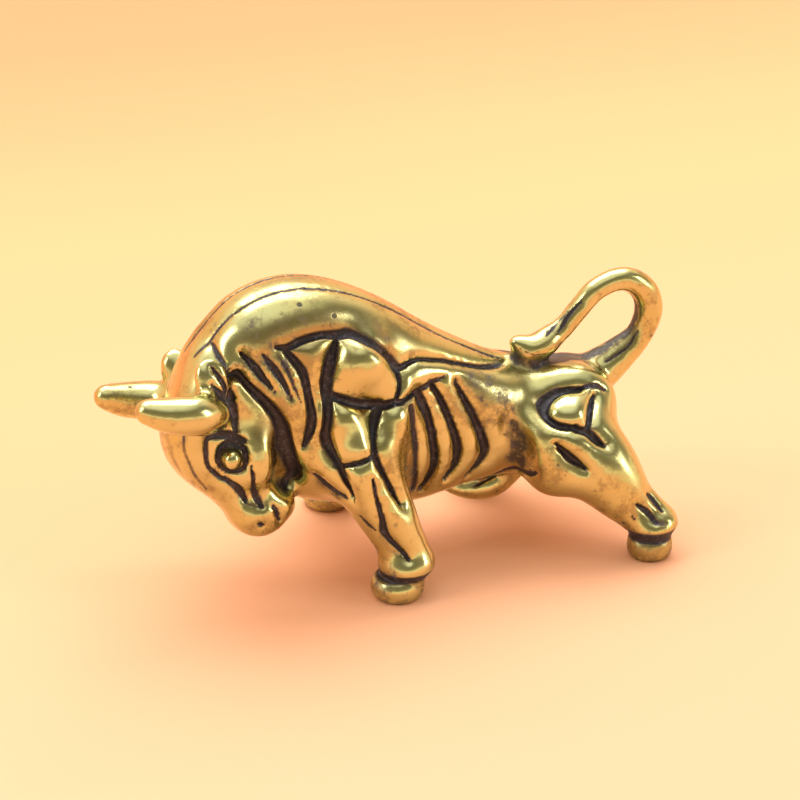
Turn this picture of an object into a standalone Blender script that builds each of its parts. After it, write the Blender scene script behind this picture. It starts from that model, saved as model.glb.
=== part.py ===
"""Bull figurine: a small solid brass casting of a charging bull.

The bull faces -X with its head low and its tail looped over the rump. It stands on four flat soles
at z = 0, with +Z up, and its box is centred on X and Y. All shape tables are in fiftieths of the
figurine's overall length, measured from a point on the ground under the middle of the body, with the
left flank on the -Y side.
"""

import math

import bmesh
import bpy
import numpy as np
from mathutils import Matrix, Vector

# Driving sizes in metres
LENGTH = 0.050

# Surface fineness, in the unit of the shape tables
ROUGH_VOXEL = 0.55
FINE_VOXEL = 0.22
TRIANGLES = 9900

# Depth of the carving as a share of the depths in the tables
CARVING = 1.4

# The head leans sideways about an axis through the poll, and its tables are upright
HEAD_LEAN = math.radians(20)
HEAD_PIVOT_Z = 19.0

# Cast brass with a dark patina
BRASS_COLOUR = (0.60, 0.43, 0.17, 1.0)
BRASS_ROUGHNESS = 0.28

# Barrel of the body: along, underside, back, half width, share of the height where it is widest
BODY_STATIONS = (
    (-19.0, 16.6, 20.0, 2.2, 0.50),
    (-17.6, 14.2, 22.3, 3.8, 0.50),
    (-15.5, 11.2, 24.6, 4.9, 0.48),
    (-13.0, 8.8, 26.0, 5.7, 0.45),
    (-10.0, 7.0, 26.5, 6.3, 0.42),
    (-7.0, 6.0, 26.0, 6.5, 0.42),
    (-4.0, 5.0, 24.8, 6.3, 0.44),
    (-1.0, 4.6, 23.0, 6.0, 0.45),
    (2.0, 4.7, 20.8, 5.8, 0.47),
    (5.0, 5.1, 18.8, 5.5, 0.50),
    (8.0, 5.4, 17.1, 5.2, 0.52),
    (11.0, 5.6, 15.8, 4.8, 0.50),
    (14.0, 6.4, 15.1, 4.7, 0.50),
    (16.4, 8.0, 14.8, 4.0, 0.52),
    (17.9, 10.2, 13.8, 2.8, 0.55),
    (18.6, 12.0, 13.2, 0.8, 0.50),
)
BODY_SQUARENESS = 2.3

# The head: height in its upright frame, brow side, throat side, half width, widest share
HEAD_STATIONS = (
    (5.8, -15.6, -12.4, 1.6, 0.50),
    (6.4, -16.4, -11.8, 2.3, 0.50),
    (7.4, -17.0, -11.2, 2.6, 0.50),
    (8.8, -18.1, -11.9, 2.6, 0.45),
    (10.2, -19.6, -12.6, 3.0, 0.45),
    (11.7, -20.8, -12.9, 3.6, 0.45),
    (13.4, -21.4, -13.0, 4.0, 0.45),
    (15.4, -21.3, -13.6, 4.2, 0.42),
    (17.6, -20.5, -14.6, 4.1, 0.42),
    (19.6, -19.5, -15.0, 3.7, 0.42),
    (21.4, -18.4, -15.0, 2.8, 0.42),
    (22.4, -17.4, -15.6, 1.0, 0.42),
)
HEAD_SQUARENESS = 2.4

# Rounded masses on both flanks: centre, radii, tilt in degrees about Y, fillet width
FLANK_MASSES = (
    ((-5.2, -4.2, 20.2), (3.1, 2.6, 2.9), 0, 1.2),
    ((-7.3, -4.8, 15.6), (2.9, 2.9, 3.3), 0, 1.3),
    ((-3.0, -4.8, 14.8), (2.3, 2.6, 4.8), 12, 1.3),
    ((-6.2, -5.2, 11.6), (3.4, 3.0, 3.6), 20, 1.2),
)

# Haunches: the left leg is stretched back and the right leg stands further forward
HAUNCHES = (
    ((13.7, -3.0, 10.9), (5.3, 3.3, 4.4), -30, 1.6),
    ((12.8, 2.8, 9.9), (4.8, 3.2, 3.9), -20, 1.6),
    ((12.0, -5.9, 7.8), (2.4, 2.2, 2.4), 0, 1.4),
)

# Rounded masses of the head in its upright frame, on both sides
HEAD_MASSES = (
    ((-19.0, -2.7, 14.8), (1.7, 1.5, 1.5), 0, 0.6),
    ((-14.6, -2.5, 12.6), (2.2, 1.9, 3.6), 12, 0.8),
    ((-12.6, -0.4, 7.5), (1.7, 1.8, 1.5), 0, 0.3),
    ((-17.9, -5.0, 19.1), (1.6, 1.05, 2.1), -18, 0.5),
    ((-14.2, -0.7, 7.0), (2.3, 1.8, 2.05), 0, 0.8),
)

# The left eyeball stands in a ring groove: centre and radii in the head's frame
EYEBALL = ((-16.9, -3.7, 12.3), (0.95, 0.8, 0.95))
EYE_LIFT = 0.6

# Limbs are tapered tubes: x, y, z, radius at each station
FORELEG = (
    (-5.8, -5.9, 12.4, 3.3),
    (-4.4, -7.2, 8.4, 2.7),
    (-3.2, -8.0, 5.4, 2.2),
    (-2.6, -8.4, 3.6, 2.0),
    (-3.1, -8.6, 1.0, 1.7),
)
LEFT_HIND_LEG = (
    (13.1, -4.7, 10.0, 4.3),
    (15.6, -6.6, 7.8, 3.4),
    (17.7, -8.3, 5.0, 2.35),
    (19.3, -9.3, 3.4, 1.8),
    (19.4, -9.8, 1.0, 1.75),
)
RIGHT_HIND_LEG = (
    (12.7, 4.2, 9.4, 3.4),
    (11.4, 5.6, 7.2, 2.9),
    (10.6, 6.3, 5.0, 2.2),
    (10.0, 6.6, 3.4, 1.8),
    (9.9, 6.6, 1.0, 1.5),
)
HORN = (
    (-18.0, -2.6, 16.6, 1.6),
    (-18.6, -5.2, 16.6, 1.75),
    (-20.2, -6.7, 16.8, 1.7),
    (-22.4, -6.9, 17.2, 1.5),
    (-24.1, -6.5, 17.75, 1.1),
)
# The tail rises from the rump and loops forward to its tuft, which lies on the back
TAIL = (
    (16.8, 0.0, 12.2, 2.2),
    (18.9, 0.0, 13.4, 1.85),
    (20.7, 0.0, 14.6, 1.5),
    (22.3, 0.0, 16.0, 1.22),
    (23.15, 0.0, 18.2, 1.25),
    (22.5, 0.0, 20.3, 1.2),
    (20.6, 0.0, 21.55, 1.05),
    (18.2, 0.0, 21.0, 1.0),
    (16.4, -0.1, 19.4, 1.0),
    (14.9, -0.3, 18.0, 1.0),
    (13.4, -0.6, 17.3, 1.15),
)
TUFT_MASSES = (
    ((12.2, -0.9, 16.85), (2.1, 1.35, 1.15), -8, 0.5),
    ((10.9, -0.6, 17.35), (1.15, 0.95, 0.75), 15, 0.4),
)
SHEATH = (
    (4.2, 0.0, 4.4, 0.4),
    (6.4, 0.0, 3.9, 1.0),
    (8.6, 0.0, 4.1, 1.4),
    (11.0, 0.0, 5.2, 1.0),
)

# Feet: centre and radius of the ankle knob, then centre on the ground and radius of the hoof
FEET = (
    ((-2.5, -8.5, 3.0), 2.4, (-3.4, -8.6), 2.3),
    ((-2.5, 8.5, 3.0), 2.4, (-3.4, 8.6), 2.3),
    ((19.6, -9.5, 3.1), 2.3, (19.3, -9.9), 2.0),
    ((10.0, 6.6, 3.1), 2.2, (9.8, 6.6), 2.0),
)
ANKLE_RISE = 1.25
HOOF_CENTRE_Z = 0.9
HOOF_RISE = 1.05
HOOF_ROUNDING = 0.8

# Grooves run along smooth lines seen from the side: half width, depth, least distance from the
# middle plane, then the line as x and z
BOTH_FLANK_GROOVES = (
    # saddle edge, from the mane to the tuft
    (0.28, 0.50, 0.0, ((-12.4, 22.9), (-11.4, 22.8), (-10.0, 23.3), (-8.6, 23.4), (-5.7, 23.4), (-3.7, 22.2),
                       (-2.1, 20.4), (1.1, 19.7), (4.9, 18.2), (8.5, 16.6))),
    # neck, then the front of the shoulder
    (0.30, 0.50, 2.0, ((-11.5, 22.4), (-10.6, 21.0), (-10.2, 19.6), (-10.1, 17.4), (-10.4, 15.0),
                       (-10.7, 13.2))),
    (0.34, 0.60, 2.0, ((-7.2, 22.9), (-8.1, 21.4), (-8.5, 18.6), (-9.2, 15.6), (-9.1, 13.8), (-8.4, 12.0))),
    # shoulder panels
    (0.36, 0.55, 2.0, ((-8.8, 19.1), (-6.9, 18.3), (-4.6, 17.2), (-2.1, 17.4), (-0.3, 17.0))),
    (0.34, 0.50, 2.0, ((-2.6, 21.2), (-1.9, 19.9), (-2.1, 18.3), (-2.9, 17.3))),
    (0.34, 0.55, 2.0, ((-4.5, 17.2), (-4.7, 15.6), (-5.5, 13.8), (-4.8, 12.5), (-3.5, 10.2), (-2.7, 8.7))),
    (0.32, 0.50, 2.0, ((-8.8, 12.6), (-7.4, 13.2), (-5.5, 13.8))),
    # mane
    (0.30, 0.40, 2.0, ((-15.3, 22.5), (-14.5, 21.5), (-13.8, 20.4), (-13.0, 19.2))),
    (0.27, 0.35, 2.0, ((-13.5, 22.2), (-12.9, 21.3), (-12.2, 20.0), (-11.5, 18.4))),
    (0.22, 0.30, 2.0, ((-12.3, 22.2), (-11.8, 21.1), (-11.2, 19.4), (-10.7, 17.7))),
    (0.34, 0.45, 3.0, ((-9.7, 10.7), (-8.8, 9.7), (-7.9, 9.1))),
    # ribs
    (0.36, 0.35, 3.0, ((-0.9, 16.4), (-0.5, 13.9), (-0.7, 10.5), (-0.3, 6.7))),
    (0.36, 0.50, 3.0, ((-0.2, 16.6), (0.9, 13.6), (1.4, 10.4), (0.6, 6.8))),
    (0.36, 0.50, 3.0, ((1.3, 17.1), (2.7, 14.3), (3.5, 11.2), (2.4, 6.6))),
    (0.34, 0.45, 3.0, ((3.5, 17.1), (4.8, 14.1), (5.7, 11.1), (4.6, 6.9))),
    (0.55, 0.45, 3.0, ((8.3, 12.9), (8.7, 10.8), (9.1, 8.5))),
    # haunch
    (0.36, 0.55, 2.0, ((17.4, 13.8), (15.2, 15.1), (12.3, 15.2), (10.4, 14.4), (11.2, 13.3), (13.9, 12.5),
                       (15.4, 11.2))),
    (0.34, 0.50, 3.5, ((16.0, 14.0), (15.0, 13.4), (14.2, 12.4))),
    # forelegs
    (0.22, 0.35, 7.5, ((-5.9, 12.2), (-5.5, 9.9), (-5.4, 7.6))),
    (0.36, 0.45, 7.5, ((-5.4, 7.8), (-5.3, 6.6), (-4.1, 5.3), (-3.1, 4.1))),
)
LEFT_FLANK_GROOVES = (
    (0.38, 0.45, 6.5, ((11.0, 11.2), (12.0, 9.9), (13.1, 9.2))),
    (0.26, 0.35, 8.0, ((17.9, 5.4), (18.5, 4.5), (19.1, 3.8))),
    (0.22, 0.30, 8.0, ((19.3, 6.0), (19.8, 5.1), (20.2, 4.4))),
)
RIGHT_FLANK_GROOVES = (
    (0.38, 0.45, 5.5, ((10.4, 10.6), (10.9, 8.9), (10.9, 7.6))),
    (0.26, 0.35, 5.5, ((10.0, 6.2), (9.6, 5.1), (9.4, 4.2))),
)

# Grooves of the head in its upright frame, on both sides
HEAD_GROOVES = (
    # gap between the jaw and the neck
    (0.50, 0.95, 0.0, ((-15.9, 19.3), (-15.0, 17.8), (-13.5, 15.9), (-12.5, 14.2), (-12.1, 12.4),
                       (-11.7, 10.6), (-11.3, 9.2))),
    # around the eye and down the face
    (0.28, 0.45, 1.5, ((-15.7, 12.2), (-15.9, 13.1), (-16.8, 13.6), (-17.8, 13.2), (-18.1, 12.3),
                       (-17.7, 11.5), (-16.9, 11.0), (-16.0, 11.3), (-15.7, 12.2))),
    (0.28, 0.40, 1.5, ((-16.0, 14.0), (-17.4, 14.3), (-18.9, 14.3), (-19.0, 12.9), (-18.3, 11.0),
                       (-16.7, 9.5), (-15.8, 8.3), (-14.6, 7.9))),
    (0.30, 0.40, 1.5, ((-15.5, 11.1), (-15.3, 9.8), (-14.6, 8.0))),
    # ear, mouth and nostril
    (0.28, 0.45, 4.9, ((-17.8, 20.4), (-17.4, 19.2), (-16.8, 18.1))),
    (0.22, 0.35, 1.0, ((-13.4, 7.8), (-13.1, 7.0), (-13.0, 5.9))),
    (0.24, 0.35, 1.2, ((-14.9, 6.1), (-14.6, 6.1))),
)


def smooth_path(stations, steps):
    """Return points on a smooth curve through the stations, in as many columns as they have."""
    knots = np.array(stations, dtype=float)
    padded = np.vstack((2 * knots[0] - knots[1], knots, 2 * knots[-1] - knots[-2]))
    points = []
    for index in range(len(knots) - 1):
        before, start, end, after = padded[index:index + 4]
        for share in np.linspace(0, 1, steps, endpoint=False):
            points.append(0.5 * (2 * start + (end - before) * share
                                 + (2 * before - 5 * start + 4 * end - after) * share ** 2
                                 + (3 * start - before - 3 * end + after) * share ** 3))
    points.append(knots[-1])
    return np.array(points)


def blend(first, second, width):
    """Join two distance fields with a soft fillet of the given width."""
    overlap = np.clip(1 - np.abs(first - second) / width, 0, 1)
    return np.minimum(first, second) - overlap ** 2 * width / 4


def mass_field(points, centre, radii, tilt):
    """Distance to an ellipsoid tilted about Y."""
    turn = math.radians(tilt)
    offset = points - np.array(centre)
    along = offset[:, 0] * math.cos(turn) - offset[:, 2] * math.sin(turn)
    up = offset[:, 0] * math.sin(turn) + offset[:, 2] * math.cos(turn)
    local = np.column_stack((along, offset[:, 1], up))
    scaled = np.linalg.norm(local / np.array(radii), axis=1)
    slope = np.linalg.norm(local / np.array(radii) ** 2, axis=1)
    return scaled * (scaled - 1) / np.maximum(slope, 1e-6)


def limb_field(points, stations):
    """Distance to a tapered tube through the stations."""
    path = smooth_path(stations, 7)
    nearest = np.full(len(points), np.inf)
    for start, end in zip(path[:-1], path[1:]):
        span = end[:3] - start[:3]
        share = np.clip((points - start[:3]) @ span / (span @ span), 0, 1)
        gap = np.linalg.norm(points - start[:3] - share[:, None] * span, axis=1)
        nearest = np.minimum(nearest, gap - start[3] - share * (end[3] - start[3]))
    return nearest


def loft_field(along, across, sideways, stations, squareness):
    """Distance to a body of egg-shaped sections that change along one axis."""
    path = smooth_path(stations, 4)
    low, high, half_width, widest = (np.interp(along, path[:, 0], path[:, column])
                                     for column in range(1, 5))
    middle = low + widest * (high - low)
    offset = across - middle
    half_height = np.where(offset > 0, high - middle, middle - low)
    ratio = (np.abs(offset / half_height) ** squareness
             + np.abs(sideways / half_width) ** squareness) ** (1 / squareness)
    reach = np.hypot(offset, sideways)
    side = reach - reach / np.maximum(ratio, 1e-3)
    return np.maximum(side, np.maximum(path[0, 0] - along, along - path[-1, 0]))


def hoof_field(points, centre, radius):
    """Distance to a hoof: an upright drum with rounded edges."""
    side = np.hypot(points[:, 0] - centre[0], points[:, 1] - centre[1]) - radius + HOOF_ROUNDING
    end = np.abs(points[:, 2] - HOOF_CENTRE_Z) - HOOF_RISE + HOOF_ROUNDING
    outside = np.hypot(np.maximum(side, 0), np.maximum(end, 0))
    return outside + np.minimum(np.maximum(side, end), 0) - HOOF_ROUNDING


def to_head_frame(points):
    """Turn points of the body's frame into the head's upright frame."""
    cosine, sine = math.cos(HEAD_LEAN), math.sin(HEAD_LEAN)
    rise = points[:, 2] - HEAD_PIVOT_Z
    return np.column_stack((points[:, 0], points[:, 1] * cosine - rise * sine,
                            HEAD_PIVOT_Z + points[:, 1] * sine + rise * cosine))


def to_left(points):
    """Fold the right side onto the left one."""
    return np.column_stack((points[:, 0], -np.abs(points[:, 1]), points[:, 2]))


def form_field(points):
    """Distance to the whole bull before its carving."""
    left = to_left(points)
    head = to_head_frame(points)
    left_head = to_left(head)
    body = loft_field(points[:, 0], points[:, 2], points[:, 1], BODY_STATIONS, BODY_SQUARENESS)
    for centre, radii, tilt, fillet in FLANK_MASSES:
        body = blend(body, mass_field(left, centre, radii, tilt), fillet)
    for centre, radii, tilt, fillet in HAUNCHES:
        body = blend(body, mass_field(points, centre, radii, tilt), fillet)
    body = blend(body, limb_field(left, FORELEG), 1.2)
    body = blend(body, limb_field(points, LEFT_HIND_LEG), 1.6)
    body = blend(body, limb_field(points, RIGHT_HIND_LEG), 1.6)
    body = blend(body, limb_field(points, SHEATH), 0.5)
    body = blend(body, limb_field(points, TAIL), 0.6)
    for centre, radii, tilt, fillet in TUFT_MASSES:
        body = blend(body, mass_field(points, centre, radii, tilt), fillet)
    for ankle, ankle_radius, hoof, hoof_radius in FEET:
        ankle_radii = (ankle_radius, ankle_radius, ANKLE_RISE)
        body = blend(body, mass_field(points, ankle, ankle_radii, 0), 0.9)
        body = blend(body, hoof_field(points, hoof, hoof_radius), 0.2)
    skull = loft_field(head[:, 2], head[:, 0], head[:, 1], HEAD_STATIONS, HEAD_SQUARENESS)
    for centre, radii, tilt, fillet in HEAD_MASSES:
        skull = blend(skull, mass_field(left_head, centre, radii, tilt), fillet)
    skull = blend(skull, limb_field(left_head, HORN), 0.4)
    return blend(body, skull, 0.6)


def line_distance(along, up, line):
    """Distance in side view to a smooth line."""
    path = smooth_path(line, 4)
    nearest = np.full(len(along), np.inf)
    for start, end in zip(path[:-1], path[1:]):
        span = end - start
        share = np.clip(((along - start[0]) * span[0] + (up - start[1]) * span[1]) / (span @ span), 0, 1)
        gap = np.hypot(along - start[0] - share * span[0], up - start[1] - share * span[1])
        nearest = np.minimum(nearest, gap)
    return nearest


def groove_depth(points, outward, grooves):
    """Return how deep the grooves cut at points folded to the left side."""
    depth = np.zeros(len(points))
    facing = np.clip(outward / 0.25, 0, 1)
    for half_width, full_depth, least_side, line in grooves:
        reach = 4 * half_width
        low, high = np.min(line, axis=0) - reach, np.max(line, axis=0) + reach
        near = np.flatnonzero((points[:, 0] > low[0]) & (points[:, 0] < high[0])
                              & (points[:, 2] > low[1]) & (points[:, 2] < high[1])
                              & (points[:, 1] <= -least_side) & (facing > 0))
        if len(near) == 0:
            continue
        gap = line_distance(points[near, 0], points[near, 2], line) / half_width
        cut = full_depth * facing[near] * (0.7 * np.exp(-gap ** 2) + 0.3 * np.exp(-(gap / 2.4) ** 2))
        depth[near] = np.maximum(depth[near], cut)
    return depth


def carving_depth(points, normals):
    """Return how deep the carving cuts at each point of the smooth form."""
    left = to_left(points)
    side = np.where(points[:, 1] < 0, -1.0, 1.0)
    outward = normals[:, 1] * side
    depth = groove_depth(left, outward, BOTH_FLANK_GROOVES)
    for sign, grooves in ((-1.0, LEFT_FLANK_GROOVES), (1.0, RIGHT_FLANK_GROOVES)):
        own = groove_depth(left, outward, grooves)
        depth = np.maximum(depth, np.where(side == sign, own, 0))
    head = to_head_frame(points)
    turned = to_head_frame(normals + np.array((0, 0, HEAD_PIVOT_Z)))
    head_side = np.where(head[:, 1] < 0, -1.0, 1.0)
    face = groove_depth(to_left(head), turned[:, 1] * head_side, HEAD_GROOVES)
    return np.maximum(depth, face)


def add_ball(mesh, centre, radii, tilt, frame):
    """Add an ellipsoid to the rough mesh."""
    place = frame @ Matrix.Translation(centre) @ Matrix.Rotation(math.radians(tilt), 4, "Y")
    bmesh.ops.create_icosphere(mesh, subdivisions=3, radius=1.0,
                               matrix=place @ Matrix.Diagonal((*radii, 1.0)))


def add_limb(mesh, stations, frame):
    """Add a tube to the rough mesh as a chain of balls."""
    for x, y, z, radius in smooth_path(stations, 6):
        add_ball(mesh, (x, y, z), (radius, radius, radius), 0, frame)


def add_loft(mesh, stations, place):
    """Add a lofted body to the rough mesh as a closed stack of rings."""
    rings = []
    for along, low, high, half_width, _ in stations:
        ring = []
        for step in range(24):
            angle = 2 * math.pi * step / 24
            across = (low + high) / 2 + (high - low) / 2 * math.sin(angle)
            ring.append(mesh.verts.new(place(along, across, half_width * math.cos(angle))))
        rings.append(ring)
    for ring, following in zip(rings[:-1], rings[1:]):
        for step in range(24):
            after = (step + 1) % 24
            mesh.faces.new((ring[step], ring[after], following[after], following[step]))
    mesh.faces.new(rings[0])
    mesh.faces.new(rings[-1])


def mirrored(point):
    """Return the point on the other side of the middle plane."""
    return (point[0], -point[1], *point[2:])


def rough_mesh():
    """Return a mesh of overlapping lumps that roughly fills the bull."""
    mesh = bmesh.new()
    upright = Matrix.Identity(4)
    pivot = Vector((0, 0, HEAD_PIVOT_Z))
    leaning = (Matrix.Translation(pivot) @ Matrix.Rotation(-HEAD_LEAN, 4, "X")
               @ Matrix.Translation(-pivot))
    add_loft(mesh, BODY_STATIONS, lambda along, across, side: Vector((along, side, across)))
    add_loft(mesh, HEAD_STATIONS, lambda along, across, side: leaning @ Vector((across, side, along)))
    for masses, frame in ((FLANK_MASSES, upright), (HEAD_MASSES, leaning)):
        for centre, radii, tilt, _ in masses:
            add_ball(mesh, centre, radii, tilt, frame)
            add_ball(mesh, mirrored(centre), radii, tilt, frame)
    for centre, radii, tilt, _ in HAUNCHES:
        add_ball(mesh, centre, radii, tilt, upright)
    for limb, frame in ((FORELEG, upright), (HORN, leaning)):
        add_limb(mesh, limb, frame)
        add_limb(mesh, [mirrored(station) for station in limb], frame)
    for limb in (LEFT_HIND_LEG, RIGHT_HIND_LEG, TAIL, SHEATH):
        add_limb(mesh, limb, upright)
    for centre, radii, tilt, _ in TUFT_MASSES:
        add_ball(mesh, centre, radii, tilt, upright)
    for ankle, ankle_radius, hoof, hoof_radius in FEET:
        add_ball(mesh, ankle, (ankle_radius, ankle_radius, ANKLE_RISE), 0, upright)
        add_ball(mesh, (*hoof, HOOF_CENTRE_Z), (hoof_radius, hoof_radius, HOOF_RISE), 0, upright)
    bmesh.ops.recalc_face_normals(mesh, faces=mesh.faces)
    return mesh


def apply_modifier(thing, kind, **settings):
    """Add a modifier, set it up and bake it into the mesh."""
    modifier = thing.modifiers.new(kind.title(), kind)
    for name, value in settings.items():
        setattr(modifier, name, value)
    graph = bpy.context.evaluated_depsgraph_get()
    baked = bpy.data.meshes.new_from_object(thing.evaluated_get(graph))
    thing.modifiers.clear()
    thing.data = baked


def read_points(mesh):
    """Return the vertex positions of a mesh as an array."""
    values = np.empty(len(mesh.vertices) * 3)
    mesh.vertices.foreach_get("co", values)
    return values.reshape(-1, 3)


def read_normals(mesh):
    """Return the vertex normals of a mesh as an array."""
    values = np.empty(len(mesh.vertices) * 3)
    mesh.vertex_normals.foreach_get("vector", values)
    return values.reshape(-1, 3)


def write_points(mesh, points):
    """Move the vertices of a mesh."""
    mesh.vertices.foreach_set("co", points.ravel())
    mesh.update()


def settle(mesh, rounds):
    """Draw the vertices along their normals onto the blended form."""
    for _ in range(rounds):
        points = read_points(mesh)
        step = np.clip(form_field(points), -0.6, 0.6)
        write_points(mesh, points - read_normals(mesh) * step[:, None])


def carve(mesh):
    """Press the grooves into the settled form and raise the eyeballs."""
    points = read_points(mesh)
    normals = read_normals(mesh)
    carved = points - normals * (CARVING * carving_depth(points, normals))[:, None]
    inside_eye = -mass_field(to_left(to_head_frame(carved)), *EYEBALL, 0)
    lift = np.clip(inside_eye, 0, EYE_LIFT)
    write_points(mesh, carved + normals * lift[:, None])


def bull():
    """Model the bull as one closed casting."""
    mesh = bpy.data.meshes.new("bull")
    rough = rough_mesh()
    rough.to_mesh(mesh)
    rough.free()
    thing = bpy.data.objects.new("bull", mesh)
    bpy.context.collection.objects.link(thing)
    apply_modifier(thing, "REMESH", mode="VOXEL", voxel_size=ROUGH_VOXEL)
    settle(thing.data, 4)
    apply_modifier(thing, "REMESH", mode="VOXEL", voxel_size=FINE_VOXEL)
    settle(thing.data, 3)
    carve(thing.data)
    share = TRIANGLES / (2 * len(thing.data.polygons))
    apply_modifier(thing, "DECIMATE", ratio=min(1.0, share))
    flatten_soles(thing.data)
    return thing


def flatten_soles(mesh):
    """Cut the hooves flat at the ground and bring the mesh to metres."""
    shape = bmesh.new()
    shape.from_mesh(mesh)
    geometry = shape.verts[:] + shape.edges[:] + shape.faces[:]
    cut = bmesh.ops.bisect_plane(shape, geom=geometry, dist=1e-4, plane_co=(0, 0, 0),
                                 plane_no=(0, 0, -1), clear_outer=True)
    rim = [item for item in cut["geom_cut"] if isinstance(item, bmesh.types.BMEdge)]
    bmesh.ops.holes_fill(shape, edges=rim, sides=0)
    bmesh.ops.triangulate(shape, faces=shape.faces)
    shape.to_mesh(mesh)
    shape.free()
    points = read_points(mesh)
    middle = (points.min(axis=0) + points.max(axis=0)) / 2
    middle[2] = 0
    scale = LENGTH / np.ptp(points[:, 0])
    write_points(mesh, (points - middle) * scale)


def brass():
    """Return the metal of the casting."""
    material = bpy.data.materials.new("aged brass")
    material.use_nodes = True
    shader = material.node_tree.nodes["Principled BSDF"]
    shader.inputs["Base Color"].default_value = BRASS_COLOUR
    shader.inputs["Metallic"].default_value = 1.0
    shader.inputs["Roughness"].default_value = BRASS_ROUGHNESS
    return material


def main():
    """Clear the scene and build the bull."""
    for thing in list(bpy.data.objects):
        bpy.data.objects.remove(thing)
    figure = bull()
    figure.data.materials.append(brass())
    figure.data.shade_smooth()
    figure.data.set_sharp_from_angle(angle=math.radians(60))


main()
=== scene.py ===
"""Bull figurine: the finished look of a small solid brass casting, on a plain studio floor.

The tables are in fiftieths of the figurine's length, with the bull facing -X, its left flank on the
-Y side and the ground at z = 0. The head's tables are upright, and the head leans about an axis
through the poll.
"""

import math

import bmesh
import bpy
import numpy as np
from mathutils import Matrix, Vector


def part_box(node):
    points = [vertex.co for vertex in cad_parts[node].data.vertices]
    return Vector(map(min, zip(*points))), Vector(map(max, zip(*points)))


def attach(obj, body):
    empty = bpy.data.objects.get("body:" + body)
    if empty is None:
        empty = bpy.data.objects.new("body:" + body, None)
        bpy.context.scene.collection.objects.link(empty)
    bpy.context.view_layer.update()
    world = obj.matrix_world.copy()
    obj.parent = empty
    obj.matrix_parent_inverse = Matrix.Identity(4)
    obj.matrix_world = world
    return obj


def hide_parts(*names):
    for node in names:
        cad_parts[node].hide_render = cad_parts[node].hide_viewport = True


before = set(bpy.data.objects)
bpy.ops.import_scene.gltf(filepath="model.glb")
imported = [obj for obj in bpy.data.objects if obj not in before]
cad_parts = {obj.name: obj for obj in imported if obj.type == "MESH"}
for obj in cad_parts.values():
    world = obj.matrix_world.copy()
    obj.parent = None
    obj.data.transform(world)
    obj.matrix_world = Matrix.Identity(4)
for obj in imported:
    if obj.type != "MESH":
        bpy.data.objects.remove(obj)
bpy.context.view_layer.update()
CAD_LOW, CAD_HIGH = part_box("bull")

bl_info = {
    "name": "Bull figurine",
    "version": (1, 0, 0),
    "blender": (4, 5, 0),
    "location": "View3D > Sidebar > Bull",
    "description": "Models a cast brass bull figurine and its studio floor, lights and camera",
    "category": "Add Mesh",
}

# The head leans sideways about an axis through the poll
HEAD_LEAN = math.radians(20)
HEAD_PIVOT = (0.0, 0.0, 19.0)

# Coarse and fine voxels, and the least shade of a groove that gets finer facets
ROUGH_VOXEL = 0.55
FINE_VOXEL = 0.26
FINE_SHADE = 0.08

# Barrel of the body: along, underside, back, half width, share of the height where it is widest
BODY_STATIONS = (
    (-19.0, 16.6, 20.0, 2.2, 0.50),
    (-17.6, 14.2, 22.3, 3.8, 0.50),
    (-15.5, 11.2, 24.6, 4.9, 0.48),
    (-13.0, 8.8, 26.0, 5.7, 0.45),
    (-10.0, 7.0, 26.5, 6.3, 0.42),
    (-7.0, 6.0, 26.0, 6.5, 0.42),
    (-4.0, 5.0, 24.8, 6.3, 0.44),
    (-1.0, 4.6, 23.0, 6.0, 0.45),
    (2.0, 4.7, 20.8, 5.8, 0.47),
    (5.0, 5.1, 18.8, 5.5, 0.50),
    (8.0, 5.4, 17.1, 5.2, 0.52),
    (11.0, 5.6, 15.8, 4.8, 0.50),
    (14.0, 6.4, 15.1, 4.7, 0.50),
    (16.4, 8.0, 14.8, 4.0, 0.52),
    (17.9, 10.2, 13.8, 2.8, 0.55),
    (18.6, 12.0, 13.2, 0.8, 0.50),
)
BODY_SQUARENESS = 2.3

# The head: height in its upright frame, brow side, throat side, half width, widest share
HEAD_STATIONS = (
    (5.8, -15.6, -12.4, 1.6, 0.50),
    (6.4, -16.4, -11.8, 2.3, 0.50),
    (7.4, -17.0, -11.2, 2.6, 0.50),
    (8.8, -18.1, -11.9, 2.6, 0.45),
    (10.2, -19.6, -12.6, 3.0, 0.45),
    (11.7, -20.8, -12.9, 3.6, 0.45),
    (13.4, -21.4, -13.0, 4.0, 0.45),
    (15.4, -21.3, -13.6, 4.2, 0.42),
    (17.6, -20.5, -14.6, 4.1, 0.42),
    (19.6, -19.5, -15.0, 3.7, 0.42),
    (21.4, -18.4, -15.0, 2.8, 0.42),
    (22.4, -17.4, -15.6, 1.0, 0.42),
)
HEAD_SQUARENESS = 2.4

# Rounded masses on both flanks: centre, radii, tilt in degrees about Y, fillet width
FLANK_MASSES = (
    ((-5.2, -4.2, 20.2), (3.1, 2.6, 2.9), 0, 1.2),
    ((-7.3, -4.8, 15.6), (2.9, 2.9, 3.3), 0, 1.3),
    ((-3.0, -4.8, 14.8), (2.3, 2.6, 4.8), 12, 1.3),
    ((-6.2, -5.2, 11.6), (3.4, 3.0, 3.6), 20, 1.2),
)

# Haunches: the left leg is stretched back and the right leg stands further forward
HAUNCHES = (
    ((13.7, -3.0, 10.9), (5.3, 3.3, 4.4), -30, 1.6),
    ((12.8, 2.8, 9.9), (4.8, 3.2, 3.9), -20, 1.6),
    ((12.0, -5.9, 7.8), (2.4, 2.2, 2.4), 0, 1.4),
)

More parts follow.
